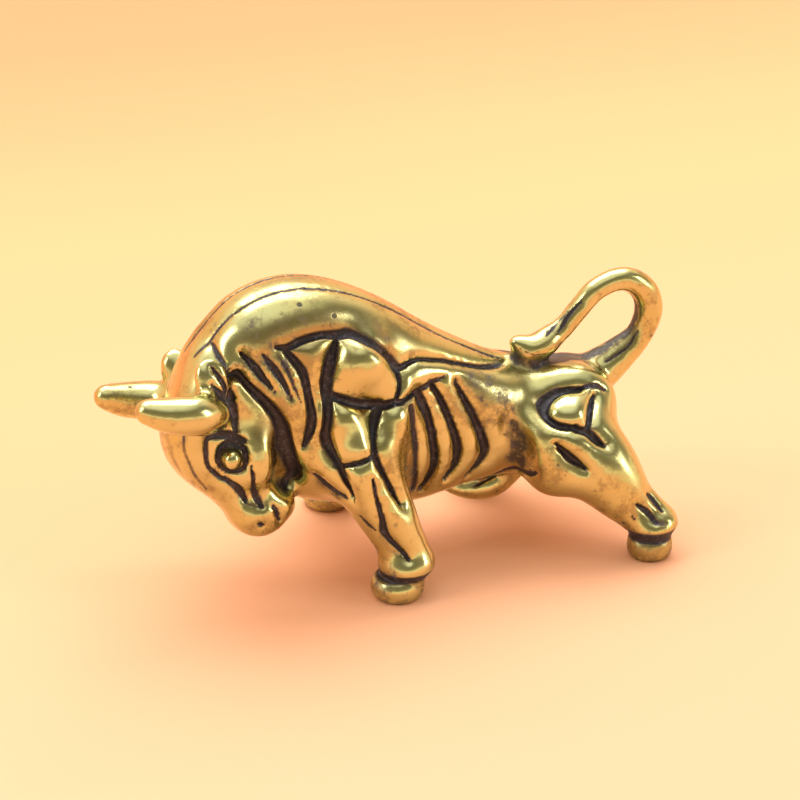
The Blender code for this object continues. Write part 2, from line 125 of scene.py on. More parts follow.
# Rounded masses of the head in its upright frame, on both sides
HEAD_MASSES = (
    ((-19.0, -2.7, 14.8), (1.7, 1.5, 1.5), 0, 0.6),
    ((-14.6, -2.5, 12.6), (2.2, 1.9, 3.6), 12, 0.8),
    ((-12.6, -0.4, 7.5), (1.7, 1.8, 1.5), 0, 0.3),
    ((-17.9, -5.0, 19.1), (1.6, 1.05, 2.1), -18, 0.5),
    ((-14.2, -0.7, 7.0), (2.3, 1.8, 2.05), 0, 0.8),
)

# The eyeball stands in a ring groove: centre and radii in the head's frame
EYEBALL = ((-16.9, -3.7, 12.3), (0.95, 0.8, 0.95))
EYE_LIFT = 0.6
EYE_MARGIN = 0.4

# Limbs are tapered tubes: x, y, z, radius at each station
FORELEG = (
    (-5.8, -5.9, 12.4, 3.3),
    (-4.4, -7.2, 8.4, 2.7),
    (-3.2, -8.0, 5.4, 2.2),
    (-2.6, -8.4, 3.6, 2.0),
    (-3.1, -8.6, 1.0, 1.7),
)
LEFT_HIND_LEG = (
    (13.1, -4.7, 10.0, 4.3),
    (15.6, -6.6, 7.8, 3.4),
    (17.7, -8.3, 5.0, 2.35),
    (19.3, -9.3, 3.4, 1.8),
    (19.4, -9.8, 1.0, 1.75),
)
RIGHT_HIND_LEG = (
    (12.7, 4.2, 9.4, 3.4),
    (11.4, 5.6, 7.2, 2.9),
    (10.6, 6.3, 5.0, 2.2),
    (10.0, 6.6, 3.4, 1.8),
    (9.9, 6.6, 1.0, 1.5),
)
HORN = (
    (-18.0, -2.6, 16.6, 1.6),
    (-18.6, -5.2, 16.6, 1.75),
    (-20.2, -6.7, 16.8, 1.7),
    (-22.4, -6.9, 17.2, 1.5),
    (-24.1, -6.5, 17.75, 1.1),
)
# The tail rises from the rump and loops forward to its tuft, which lies on the back
TAIL = (
    (16.8, 0.0, 12.2, 2.2),
    (18.9, 0.0, 13.4, 1.85),
    (20.7, 0.0, 14.6, 1.5),
    (22.3, 0.0, 16.0, 1.22),
    (23.15, 0.0, 18.2, 1.25),
    (22.5, 0.0, 20.3, 1.2),
    (20.6, 0.0, 21.55, 1.05),
    (18.2, 0.0, 21.0, 1.0),
    (16.4, -0.1, 19.4, 1.0),
    (14.9, -0.3, 18.0, 1.0),
    (13.4, -0.6, 17.3, 1.15),
)
TUFT_MASSES = (
    ((12.2, -0.9, 16.85), (2.1, 1.35, 1.15), -8, 0.5),
    ((10.9, -0.6, 17.35), (1.15, 0.95, 0.75), 15, 0.4),
)
SHEATH = (
    (4.2, 0.0, 4.4, 0.4),
    (6.4, 0.0, 3.9, 1.0),
    (8.6, 0.0, 4.1, 1.4),
    (11.0, 0.0, 5.2, 1.0),
)

# Feet: centre and radius of the ankle knob, then centre on the ground and radius of the hoof
FEET = (
    ((-2.5, -8.5, 3.0), 2.4, (-3.4, -8.6), 2.3),
    ((-2.5, 8.5, 3.0), 2.4, (-3.4, 8.6), 2.3),
    ((19.6, -9.5, 3.1), 2.3, (19.3, -9.9), 2.0),
    ((10.0, 6.6, 3.1), 2.2, (9.8, 6.6), 2.0),
)
ANKLE_RISE = 1.25
HOOF_CENTRE_Z = 0.9
HOOF_RISE = 1.05
HOOF_ROUNDING = 0.8

# Grooves run along smooth lines seen from the side: depth, how dark they are, least distance from
# the middle plane, then the line as x, z and half width
BOTH_FLANK_GROOVES = (
    # saddle edge, from the mane over the shoulder to the tuft
    (0.75, 1.0, 0.0, ((-12.4, 22.9, 0.14), (-11.4, 22.8, 0.30), (-10.2, 23.2, 0.30), (-8.6, 23.4, 0.28),
                      (-7.1, 23.3, 0.28), (-5.7, 23.3, 0.28), (-3.7, 22.2, 0.32), (-2.3, 20.6, 0.32),
                      (-1.4, 19.6, 0.22), (0.5, 19.5, 0.13), (2.6, 18.9, 0.12), (4.8, 18.0, 0.11),
                      (6.8, 17.2, 0.11), (9.4, 16.4, 0.08))),
    # neck, then the front of the shoulder down to the leg
    (0.90, 1.0, 2.0, ((-11.6, 22.5, 0.26), (-10.6, 21.0, 0.36), (-10.2, 19.6, 0.32), (-10.1, 17.4, 0.27),
                      (-10.4, 15.0, 0.26), (-10.7, 13.4, 0.06))),
    (1.00, 1.0, 2.0, ((-7.2, 23.0, 0.14), (-8.0, 21.6, 0.32), (-8.4, 20.1, 0.40), (-8.7, 18.4, 0.42),
                      (-9.0, 16.9, 0.36), (-9.3, 15.2, 0.34), (-9.2, 13.8, 0.34), (-8.6, 12.3, 0.30),
                      (-8.1, 10.8, 0.20), (-7.5, 9.3, 0.08))),
    # shoulder panels
    (0.95, 1.0, 2.0, ((-8.6, 18.7, 0.30), (-6.5, 17.9, 0.30), (-5.1, 17.2, 0.32), (-4.0, 16.9, 0.34),
                      (-2.8, 17.1, 0.32), (-1.3, 16.8, 0.26), (-0.1, 17.0, 0.12))),
    (0.90, 1.0, 2.0, ((-2.4, 20.9, 0.26), (-1.8, 19.4, 0.30), (-1.9, 18.3, 0.30), (-2.7, 17.2, 0.28))),
    (0.95, 1.0, 2.0, ((-4.2, 17.1, 0.30), (-4.7, 15.4, 0.28), (-5.0, 14.2, 0.32), (-4.9, 13.0, 0.36),
                      (-4.2, 11.5, 0.26), (-3.6, 10.2, 0.27), (-2.8, 8.8, 0.10))),
    (0.80, 1.0, 2.0, ((-8.8, 12.4, 0.24), (-7.4, 12.9, 0.25), (-6.0, 13.3, 0.25), (-4.9, 13.8, 0.28))),
    # mane
    (0.75, 1.0, 2.0, ((-15.4, 22.6, 0.10), (-14.5, 21.5, 0.34), (-13.8, 20.4, 0.30), (-12.9, 19.1, 0.06))),
    (0.65, 1.0, 2.0, ((-13.6, 22.4, 0.10), (-12.9, 21.3, 0.30), (-12.2, 20.0, 0.26), (-11.5, 18.3, 0.06))),
    (0.40, 0.7, 2.0, ((-12.4, 22.3, 0.08), (-11.8, 21.1, 0.18), (-11.3, 19.6, 0.16), (-10.8, 18.0, 0.06))),
    (0.60, 1.0, 3.0, ((-9.9, 11.0, 0.10), (-8.9, 9.8, 0.30), (-7.9, 9.1, 0.12))),
    # ribs, with the arch above them
    (0.50, 0.8, 3.0, ((-0.9, 16.0, 0.34), (-0.6, 12.9, 0.20), (-0.5, 9.9, 0.20), (-0.3, 7.0, 0.26))),
    (0.95, 1.0, 3.0, ((0.1, 16.9, 0.26), (0.7, 14.7, 0.31), (1.2, 12.1, 0.33), (1.4, 9.5, 0.33),
                      (1.0, 7.5, 0.27), (0.6, 6.3, 0.14))),
    (0.95, 1.0, 3.0, ((1.4, 17.2, 0.22), (2.1, 15.7, 0.27), (2.8, 13.6, 0.29), (3.4, 11.6, 0.33),
                      (3.6, 10.2, 0.34), (3.4, 8.7, 0.29), (2.7, 7.2, 0.14))),
    (0.90, 1.0, 3.0, ((3.7, 17.1, 0.08), (4.3, 15.4, 0.25), (5.0, 13.6, 0.29), (5.7, 11.6, 0.33),
                      (6.1, 10.1, 0.36), (5.9, 8.7, 0.31), (4.8, 6.7, 0.12))),
    (0.45, 0.9, 3.0, ((-1.2, 16.8, 0.26), (-0.1, 17.0, 0.28), (1.2, 17.4, 0.22), (2.6, 17.6, 0.08))),
    # hollow of the flank against the front edge of the thigh
    (0.50, 0.0, 3.0, ((7.9, 12.6, 0.50), (8.4, 10.6, 0.80), (8.6, 8.2, 0.60))),
    # haunch
    (0.35, 1.0, 2.0, ((17.3, 13.7, 0.07), (16.6, 14.3, 0.14), (15.8, 14.6, 0.14), (14.8, 14.8, 0.10))),
    (0.95, 1.0, 2.0, ((15.4, 14.7, 0.08), (14.2, 14.9, 0.15), (12.8, 14.9, 0.17), (11.6, 14.5, 0.22),
                      (10.8, 13.9, 0.32), (10.7, 13.3, 0.34), (11.3, 12.9, 0.31), (12.4, 12.7, 0.28),
                      (13.5, 12.4, 0.30), (14.4, 12.0, 0.36), (15.0, 11.4, 0.36), (15.7, 10.8, 0.14))),
    (0.85, 1.0, 3.5, ((16.2, 13.8, 0.14), (15.6, 13.4, 0.23), (14.8, 12.7, 0.30), (14.4, 12.2, 0.34))),
    # forelegs
    (0.60, 1.0, 7.5, ((-5.7, 12.3, 0.06), (-5.7, 10.9, 0.13), (-5.5, 9.4, 0.18), (-5.2, 7.8, 0.24),
                      (-5.1, 6.6, 0.34), (-4.6, 5.7, 0.27), (-4.0, 5.1, 0.22), (-3.3, 4.4, 0.20),
                      (-2.9, 4.0, 0.08))),
    (0.25, 0.3, 7.5, ((-5.2, 5.9, 0.30), (-4.5, 5.0, 0.40), (-3.8, 4.4, 0.20))),
    (0.25, 0.8, 7.0, ((-6.8, 8.0, 0.05), (-6.2, 7.2, 0.10), (-5.7, 6.6, 0.05))),
    # crease between the belly and the sheath
    (0.35, 1.0, 0.4, ((2.8, 5.4, 0.08), (5.0, 5.5, 0.22), (7.2, 6.1, 0.26), (8.8, 7.2, 0.24),
                      (9.6, 8.2, 0.10))),
    # hair of the tuft and the tail
    (0.14, 0.5, 0.2, ((10.4, 17.3, 0.06), (12.0, 16.7, 0.12), (13.6, 17.2, 0.06))),
    (0.14, 0.9, 0.2, ((13.9, 18.0, 0.05), (14.6, 18.6, 0.14), (15.4, 19.5, 0.12), (16.5, 20.5, 0.05))),
    (0.12, 0.8, 0.2, ((12.9, 18.1, 0.05), (13.6, 18.4, 0.10), (14.5, 19.0, 0.10), (15.2, 19.6, 0.05))),
    (0.14, 0.7, 0.2, ((18.6, 14.6, 0.05), (19.6, 15.0, 0.12), (20.9, 15.7, 0.12), (21.9, 16.9, 0.05))),
)
LEFT_FLANK_GROOVES = (
    (0.90, 1.0, 6.5, ((10.9, 11.3, 0.06), (11.7, 10.3, 0.34), (12.4, 9.6, 0.36), (13.5, 8.6, 0.08))),
    (0.50, 1.0, 8.0, ((17.6, 5.4, 0.06), (18.2, 5.0, 0.22), (18.8, 4.5, 0.28), (19.2, 3.9, 0.22))),
    (0.45, 1.0, 8.0, ((19.1, 6.0, 0.06), (19.5, 5.6, 0.20), (19.9, 5.0, 0.20), (20.3, 4.4, 0.07))),
    (0.22, 0.5, 8.0, ((19.2, 3.9, 0.26), (19.8, 3.7, 0.26), (20.2, 3.7, 0.10))),
    (0.15, 0.8, 8.0, ((17.1, 4.6, 0.04), (17.4, 4.1, 0.09), (17.5, 3.9, 0.04))),
)
RIGHT_FLANK_GROOVES = (
    (0.80, 1.0, 5.5, ((10.2, 11.0, 0.08), (10.9, 9.2, 0.36), (11.0, 7.5, 0.10))),
    (0.45, 1.0, 5.5, ((10.1, 6.4, 0.08), (9.6, 5.1, 0.26), (9.4, 4.1, 0.10))),
)

# Grooves of the head in its upright frame, on both sides
HEAD_GROOVES = (
    # gap between the jaw and the neck
    (1.00, 1.0, 0.4, ((-15.9, 19.4, 0.24), (-15.0, 17.9, 0.34), (-13.5, 16.0, 0.42), (-12.5, 14.2, 0.48),
                      (-12.1, 12.4, 0.52), (-11.7, 10.6, 0.54), (-11.3, 9.3, 0.50))),
    # ring round the eye, widest at its top, the hollow under the brow and the two lines down the face; the
    # ring's top and the brow hollow are dark with patina and with painted shadow under the brow and horn
    (0.60, 1.0, 1.5, ((-15.75, 12.2, 0.17), (-15.9, 13.1, 0.24), (-16.7, 13.6, 0.36), (-17.6, 13.2, 0.28),
                      (-17.9, 12.3, 0.22), (-17.6, 11.5, 0.19), (-16.9, 11.0, 0.19), (-16.1, 11.3, 0.18),
                      (-15.75, 12.2, 0.17))),
    (0.55, 1.0, 1.5, ((-15.7, 13.7, 0.22), (-16.6, 14.2, 0.40), (-17.7, 14.4, 0.32), (-18.7, 14.2, 0.20),
                      (-19.0, 13.0, 0.16), (-18.9, 11.9, 0.16), (-18.1, 10.8, 0.17), (-17.3, 10.3, 0.17),
                      (-16.7, 9.7, 0.19), (-16.2, 9.0, 0.23), (-15.8, 8.4, 0.22))),
    (0.55, 1.0, 1.5, ((-15.4, 11.4, 0.08), (-15.3, 10.4, 0.16), (-15.1, 9.3, 0.22), (-14.7, 8.4, 0.26),
                      (-14.4, 7.8, 0.18))),
    (0.25, 0.6, 1.5, ((-15.8, 8.2, 0.12), (-15.1, 7.9, 0.16), (-14.4, 7.7, 0.12))),
    # ear and the root of the horn
    (0.60, 1.0, 3.6, ((-18.0, 20.6, 0.08), (-17.4, 19.5, 0.26), (-16.8, 18.3, 0.30), (-16.3, 17.2, 0.22))),
    (0.50, 1.0, 3.0, ((-18.4, 18.9, 0.08), (-17.4, 18.0, 0.20), (-16.5, 17.2, 0.26), (-16.1, 15.9, 0.24),
                      (-16.1, 14.6, 0.20))),
    # mouth and nostril
    (0.50, 1.0, 0.9, ((-13.35, 7.7, 0.10), (-13.15, 7.1, 0.20), (-12.8, 6.1, 0.14))),
    (0.40, 1.0, 1.2, ((-14.9, 6.2, 0.10), (-14.7, 6.1, 0.20), (-14.5, 6.05, 0.10))),
    # edges of the brow plane and the crease over the poll
    (0.12, 0.5, 1.2, ((-20.6, 15.0, 0.07), (-20.6, 13.6, 0.09), (-19.9, 11.4, 0.09), (-18.8, 9.8, 0.06))),
    (0.10, 0.5, 0.3, ((-21.6, 14.8, 0.07), (-21.2, 12.8, 0.09), (-20.2, 10.7, 0.09), (-18.7, 9.2, 0.06))),
    (0.30, 0.8, 2.4, ((-17.1, 22.0, 0.10), (-16.9, 20.8, 0.20), (-16.3, 19.8, 0.10))),
)

# Dark rings above the hooves: x, y, z, half height
ANKLE_RINGS = (
    (-3.0, -8.55, 2.25, 0.36),
    (-3.0, 8.55, 2.25, 0.36),
    (19.4, -9.7, 2.25, 0.50),
    (9.9, 6.6, 2.20, 0.45),
)
RING_REACH = 3.4

# Dark patches with no groove under them, some painted shade and some darker metal: strength, then x, y, z
# and radius along a tube
SHADE_AND_STAIN_PATCHES = (
    # painted shade inside the tail's loop and on the back under the tuft
    (1.0, ((20.8, 0.0, 20.8, 0.15), (21.9, 0.0, 19.3, 0.40), (21.6, 0.0, 17.6, 0.50),
           (20.5, 0.0, 16.1, 0.60), (18.8, 0.0, 15.4, 0.60), (16.4, -0.2, 15.0, 0.80),
           (13.4, -1.0, 15.5, 1.0), (10.4, -1.2, 16.2, 0.7))),
    # darker patch in the hollow of the flank before the thigh
    (0.9, ((8.4, -5.2, 12.4, 0.3), (8.8, -5.6, 10.6, 0.7), (8.8, -5.2, 8.4, 0.8))),
    # darker band behind the shoulder
    (0.7, ((-0.9, -5.7, 15.6, 0.4), (-0.7, -5.7, 12.0, 0.35), (-0.6, -5.4, 9.0, 0.5),
           (-0.5, -4.4, 7.2, 0.7))),
    # speckled metal low on the hump, at the nape and behind the ribs
    (0.40, ((-14.0, -3.4, 24.0, 1.3), (-11.0, -4.2, 23.8, 1.4), (-7.3, -4.5, 24.0, 1.2),
            (-4.0, -4.4, 23.2, 1.1), (0.0, -4.0, 20.8, 0.9))),
    (0.45, ((-13.8, -4.2, 22.6, 1.3), (-10.6, -4.8, 21.4, 1.3))),
    (0.50, ((4.9, -4.1, 17.0, 1.0), (6.6, -4.5, 15.4, 1.4), (7.8, -4.6, 13.6, 1.3))),
    # painted shade under the chest beside the foreleg
    (0.7, ((-9.3, -5.8, 10.4, 0.5), (-8.0, -6.8, 9.2, 0.6))),
    # speckled metal between the mane's lines, along the ribs and over the hump's crest
    (0.5, ((-15.4, -4.2, 21.7, 0.7), (-13.2, -4.4, 22.4, 0.6), (-11.6, -4.7, 22.1, 0.5))),
    (0.4, ((0.4, -5.3, 15.8, 0.8), (2.4, -5.1, 15.0, 0.9), (4.8, -4.9, 13.3, 0.9), (7.2, -5.0, 12.2, 0.9))),
    (0.3, ((-13.4, -3.8, 24.2, 0.8), (-9.0, -4.6, 24.8, 0.8), (-5.0, -3.8, 24.0, 0.7))),
    # darker speckles low on the hooves
    (0.5, ((-3.6, -8.6, 1.4, 2.3), (-3.3, -8.6, 0.4, 2.3))),
    (0.5, ((19.0, -9.8, 1.4, 2.0), (19.2, -9.8, 0.4, 2.0))),
)

# A thin line each side of the crest, seen from above: x and distance from the middle plane
CREST_LINE = ((-18.5, 1.1), (-14.0, 1.3), (-8.0, 1.4), (-2.0, 1.3), (4.0, 1.1), (9.0, 0.9))
CREST_HALF_WIDTH = 0.10
CREST_DEPTH = 0.16

# A groove is a narrow cut between rounded shoulders: their shares of its depth, the shoulders'
# widest reach and reach against its half width, and how many times they are evened out
CUT_SHARE = 0.5
SHOULDER_SHARE = 0.75
SHOULDER_REACH = 2.3
SHOULDER_SPREAD = 6.5
SHOULDER_ROUNDS = 20

# Rounds that soften the metal between the grooves, and the shade over which they fade out
SOFTEN_ROUNDS = 8
SOFTEN_FADE = (0.05, 0.35)

# Fillets where the limbs and the head meet the body
FORELEG_FILLET = 1.2
HIND_LEG_FILLET = 1.6
SHEATH_FILLET = 0.5
TAIL_FILLET = 0.6
ANKLE_FILLET = 0.9
HOOF_FILLET = 0.2
HORN_FILLET = 0.4
NECK_FILLET = 0.6

# Points for each span of a smooth path: limbs, sections, grooves and rough lumps
LIMB_STEPS = 9
SECTION_STEPS = 4
LINE_STEPS = 5
ROUGH_STEPS = 4

# Furthest that a vertex settles in one round
SETTLE_REACH = 0.6

# Grooves show where the surface faces sideways, and the crest's lines where it faces up
SIDEWAYS_FADE = (0.0, 0.35)
UPWARD_START = 0.3

# Least half width of a groove at its ends
LEAST_HALF_WIDTH = 0.03

# Patches of painted shade and darker metal fade over these distances from their tube, and the grooves'
# patina over these from the eyeball
SHADE_AND_STAIN_FADE = (-0.4, 0.6)
EYE_FADE = (0.02, 0.12)

# Rounds that raise the eyeballs
EYE_ROUNDS = 3

# Rounds of smoothing that the surface is held against to tell its hollows, and their strength; tight
# hollows darken with patina and painted crease shade, broad ones with dark specks
TIGHT_HOLLOWS = (16, 2.2)
BROAD_HOLLOWS = (120, 0.7)

# Edges sharper than this stay sharp
SMOOTH_ANGLE = math.radians(75)

# Scales of the metal's noises and pits, in ripples a metre
BROAD_SCALE = 160.0
WOBBLE_SCALE = 330.0
PIT_SCALE = 520.0
MOTTLE_SCALE = 900.0
GRAIN_SCALE = 3200.0

# Soft lights: place, aim, width and height, power in watts, colour
LIGHTS = (
    ("overhead_softbox", (0.04, 0.26, 0.50), (0.0, 0.0, 0.01), (0.60, 0.40), 3.0, (1.0, 1.0, 0.98)),
    ("left_softbox", (-0.50, 0.02, 0.30), (0.0, 0.0, 0.01), (0.16, 0.30), 0.85, (1.0, 1.0, 0.96)),
    ("right_softbox", (0.48, -0.28, 0.20), (0.0, 0.0, 0.01), (0.14, 0.26), 0.75, (1.0, 0.98, 0.92)),
)

# Light from all round, before the bull and behind it: height of its direction, then colour
AIR_BEFORE = (
    (0.0, (0.80, 0.58, 0.36, 1.0)),
    (0.12, (0.95, 0.80, 0.55, 1.0)),
    (0.24, (0.24, 0.20, 0.13, 1.0)),
    (0.72, (0.15, 0.135, 0.09, 1.0)),
    (0.92, (0.80, 0.78, 0.70, 1.0)),
)
AIR_BEHIND = (
    (0.0, (0.95, 0.48, 0.26, 1.0)),
    (0.40, (0.85, 0.52, 0.30, 1.0)),
    (0.80, (0.85, 0.80, 0.70, 1.0)),
)
AIR_STRENGTH = 1.7

# Camera at the photograph's viewing angle
CAMERA_PLACE = (-0.0958, -0.2504, 0.1507)
CAMERA_AIM = (0.3193, 0.8318, -0.4540)
CAMERA_LENS = 157.95
CAMERA_CLIP_START = 0.01


def smooth_path(stations, steps):
    """Return points on a smooth curve through the stations, in as many columns as they have."""
    knots = np.array(stations, dtype=float)
    padded = np.vstack((2 * knots[0] - knots[1], knots, 2 * knots[-1] - knots[-2]))
    points = []
    for index in range(len(knots) - 1):
        before, start, end, after = padded[index:index + 4]
        for share in np.linspace(0, 1, steps, endpoint=False):
            points.append(0.5 * (2 * start + (end - before) * share
                                 + (2 * before - 5 * start + 4 * end - after) * share ** 2
                                 + (3 * start - before - 3 * end + after) * share ** 3))
    points.append(knots[-1])
    return np.array(points)


def smooth_step(values, low, high):
    """Rise smoothly from 0 at low to 1 at high."""
    share = np.clip((values - low) / (high - low), 0, 1)
    return share * share * (3 - 2 * share)


def blend(first, second, width):
    """Join two distance fields with a soft fillet of the given width."""
    overlap = np.clip(1 - np.abs(first - second) / width, 0, 1)
    return np.minimum(first, second) - overlap ** 2 * width / 4


def mass_field(points, centre, radii, tilt):
    """Distance to an ellipsoid tilted about Y."""
    turn = math.radians(tilt)
    offset = points - np.array(centre)
    along = offset[:, 0] * math.cos(turn) - offset[:, 2] * math.sin(turn)
    up = offset[:, 0] * math.sin(turn) + offset[:, 2] * math.cos(turn)
    local = np.column_stack((along, offset[:, 1], up))
    scaled = np.linalg.norm(local / np.array(radii), axis=1)
    slope = np.linalg.norm(local / np.array(radii) ** 2, axis=1)
    return scaled * (scaled - 1) / np.maximum(slope, 1e-6)


def limb_field(points, stations):
    """Distance to a tapered tube through the stations."""
    path = smooth_path(stations, LIMB_STEPS)
    nearest = np.full(len(points), np.inf)
    for start, end in zip(path[:-1], path[1:]):
        span = end[:3] - start[:3]
        share = np.clip((points - start[:3]) @ span / (span @ span), 0, 1)
        gap = np.linalg.norm(points - start[:3] - share[:, None] * span, axis=1)
        nearest = np.minimum(nearest, gap - start[3] - share * (end[3] - start[3]))
    return nearest


def loft_field(along, across, sideways, stations, squareness):
    """Distance to a body of egg-shaped sections that change along one axis."""
    path = smooth_path(stations, SECTION_STEPS)
    low, high, half_width, widest = (np.interp(along, path[:, 0], path[:, column])
                                     for column in range(1, 5))
    middle = low + widest * (high - low)
    offset = across - middle
    half_height = np.where(offset > 0, high - middle, middle - low)
    ratio = (np.abs(offset / half_height) ** squareness
             + np.abs(sideways / half_width) ** squareness) ** (1 / squareness)
    reach = np.hypot(offset, sideways)
    side = reach - reach / np.maximum(ratio, 1e-3)
    return np.maximum(side, np.maximum(path[0, 0] - along, along - path[-1, 0]))


def hoof_field(points, centre, radius):
    """Distance to a hoof: an upright drum with rounded edges."""
    side = np.hypot(points[:, 0] - centre[0], points[:, 1] - centre[1]) - radius + HOOF_ROUNDING
    end = np.abs(points[:, 2] - HOOF_CENTRE_Z) - HOOF_RISE + HOOF_ROUNDING
    outside = np.hypot(np.maximum(side, 0), np.maximum(end, 0))
    return outside + np.minimum(np.maximum(side, end), 0) - HOOF_ROUNDING


def lean_back(vectors):
    """Turn vectors of the body's frame into the head's upright frame."""
    cosine, sine = math.cos(HEAD_LEAN), math.sin(HEAD_LEAN)
    return np.column_stack((vectors[:, 0], vectors[:, 1] * cosine - vectors[:, 2] * sine,
                            vectors[:, 1] * sine + vectors[:, 2] * cosine))


def to_head_frame(points):
    """Turn points of the body's frame into the head's upright frame."""
    return lean_back(points - np.array(HEAD_PIVOT)) + np.array(HEAD_PIVOT)


def to_left(points):
    """Fold the right side onto the left one."""
    return np.column_stack((points[:, 0], -np.abs(points[:, 1]), points[:, 2]))


def form_field(points):
    """Distance to the whole bull before its carving."""
    left = to_left(points)
    head = to_head_frame(points)
    left_head = to_left(head)
    body = loft_field(points[:, 0], points[:, 2], points[:, 1], BODY_STATIONS, BODY_SQUARENESS)
    for centre, radii, tilt, fillet in FLANK_MASSES:
        body = blend(body, mass_field(left, centre, radii, tilt), fillet)
    for centre, radii, tilt, fillet in HAUNCHES:
        body = blend(body, mass_field(points, centre, radii, tilt), fillet)
    body = blend(body, limb_field(left, FORELEG), FORELEG_FILLET)
    body = blend(body, limb_field(points, LEFT_HIND_LEG), HIND_LEG_FILLET)
    body = blend(body, limb_field(points, RIGHT_HIND_LEG), HIND_LEG_FILLET)
    body = blend(body, limb_field(points, SHEATH), SHEATH_FILLET)
    body = blend(body, limb_field(points, TAIL), TAIL_FILLET)
    for centre, radii, tilt, fillet in TUFT_MASSES:
        body = blend(body, mass_field(points, centre, radii, tilt), fillet)
    for ankle, ankle_radius, hoof, hoof_radius in FEET:
        ankle_radii = (ankle_radius, ankle_radius, ANKLE_RISE)
        body = blend(body, mass_field(points, ankle, ankle_radii, 0), ANKLE_FILLET)
        body = blend(body, hoof_field(points, hoof, hoof_radius), HOOF_FILLET)
    skull = loft_field(head[:, 2], head[:, 0], head[:, 1], HEAD_STATIONS, HEAD_SQUARENESS)
    for centre, radii, tilt, fillet in HEAD_MASSES:
        skull = blend(skull, mass_field(left_head, centre, radii, tilt), fillet)
    skull = blend(skull, limb_field(left_head, HORN), HORN_FILLET)
    return blend(body, skull, NECK_FILLET)


def line_gap(along, up, line):
    """Distance in side view to a smooth line: in its half widths, and past its edge."""
    path = smooth_path(line, LINE_STEPS)
    ratio = np.full(len(along), np.inf)
    clear = np.full(len(along), np.inf)
    for start, end in zip(path[:-1], path[1:]):
        span = end - start
        length = span[0] ** 2 + span[1] ** 2
        share = np.clip(((along - start[0]) * span[0] + (up - start[1]) * span[1]) / length, 0, 1)
        gap = np.hypot(along - start[0] - share * span[0], up - start[1] - share * span[1])
        width = np.maximum(start[2] + share * span[2], LEAST_HALF_WIDTH)
        ratio = np.minimum(ratio, gap / width)
        clear = np.minimum(clear, gap - width)
    return ratio, np.maximum(clear, 0)


def press_grooves(points, outward, grooves):
    """Return the cut, the shoulders and the shade that the grooves give points folded to the left."""
    pressed = np.zeros((len(points), 3))
    facing = smooth_step(outward, *SIDEWAYS_FADE)
    for full_depth, darkness, least_side, line in grooves:
        widest = max(width for _, _, width in line)
        reach = min(SHOULDER_REACH, SHOULDER_SPREAD * widest)
        low = np.min(line, axis=0)[:2] - widest - reach
        high = np.max(line, axis=0)[:2] + widest + reach
        near = np.flatnonzero((points[:, 0] > low[0]) & (points[:, 0] < high[0])
                              & (points[:, 2] > low[1]) & (points[:, 2] < high[1])
                              & (points[:, 1] <= -least_side) & (facing > 0))
        if len(near) == 0:
            continue
        ratio, clear = line_gap(points[near, 0], points[near, 2], line)
        share = np.clip(1 - clear / reach, 0, 1)
        own = np.column_stack((CUT_SHARE * full_depth / (1 + ratio ** 4),
                               SHOULDER_SHARE * full_depth * (1 - np.sqrt(1 - share ** 2)),
                               darkness / (1 + (ratio / 1.1) ** 6)))
        pressed[near] = np.maximum(pressed[near], own * facing[near, None])
    return pressed


def press_crest(points, normals):
    """Return the cut, the shoulders and the shade of the thin lines beside the crest."""
    line = np.array(CREST_LINE)
    offset = np.interp(points[:, 0], line[:, 0], line[:, 1])
    inside = (points[:, 0] > line[0, 0]) & (points[:, 0] < line[-1, 0])
    gap = np.abs(np.abs(points[:, 1]) - offset) / CREST_HALF_WIDTH
    facing = np.clip(normals[:, 2] / UPWARD_START - 1, 0, 1) * inside
    shade = facing / (1 + gap ** 4)
    return np.column_stack((CREST_DEPTH * shade, 0 * shade, shade))


def ring_shade(points):
    """Return how dark the rings above the hooves make each point."""
    shade = np.zeros(len(points))
    for x, y, z, half_height in ANKLE_RINGS:
        beside = np.hypot(points[:, 0] - x, points[:, 1] - y) < RING_REACH
        gap = np.abs(points[:, 2] - z) / half_height
        shade = np.maximum(shade, beside / (1 + gap ** 6))
    return shade


def press_everything(points, normals):
    """Return the cut, the shoulders and the shade that the carving gives each point."""
    left = to_left(points)
    side = np.where(points[:, 1] < 0, -1.0, 1.0)
    outward = normals[:, 1] * side
    pressed = press_grooves(left, outward, BOTH_FLANK_GROOVES)
    for sign, grooves in ((-1.0, LEFT_FLANK_GROOVES), (1.0, RIGHT_FLANK_GROOVES)):
        own = press_grooves(left, outward, grooves)
        pressed = np.maximum(pressed, own * (side == sign)[:, None])
    head = to_head_frame(points)
    head_side = np.where(head[:, 1] < 0, -1.0, 1.0)
    face = press_grooves(to_left(head), lean_back(normals)[:, 1] * head_side, HEAD_GROOVES)
    pressed = np.maximum(pressed, np.maximum(face, press_crest(points, normals)))
    pressed[:, 2] = np.maximum(pressed[:, 2], ring_shade(points))
    return pressed


def shade_and_stain_strength(points):
    """Return how strongly the patches of painted shade and darker metal mark each point."""
    left = to_left(points)
    shade_and_stain = np.zeros(len(points))
    for strength, stations in SHADE_AND_STAIN_PATCHES:
        inside = 1 - smooth_step(limb_field(left, stations), *SHADE_AND_STAIN_FADE)
        shade_and_stain = np.maximum(shade_and_stain, strength * inside)
    return shade_and_stain


def deselect_all():
    """Leave nothing selected and nothing active."""
    bpy.ops.object.select_all(action="DESELECT")
    bpy.context.view_layer.objects.active = None


def add_ball(centre, radii, tilt):
    """Add an ellipsoid to the mesh being edited."""
    bpy.ops.mesh.primitive_ico_sphere_add(subdivisions=3, radius=1.0, location=centre, scale=radii,
                                          rotation=(0.0, math.radians(tilt), 0.0))


def add_limb(stations):
    """Add a tube to the mesh being edited as a chain of balls."""
    for x, y, z, radius in smooth_path(stations, ROUGH_STEPS):
        add_ball((x, y, z), (radius, radius, radius), 0)


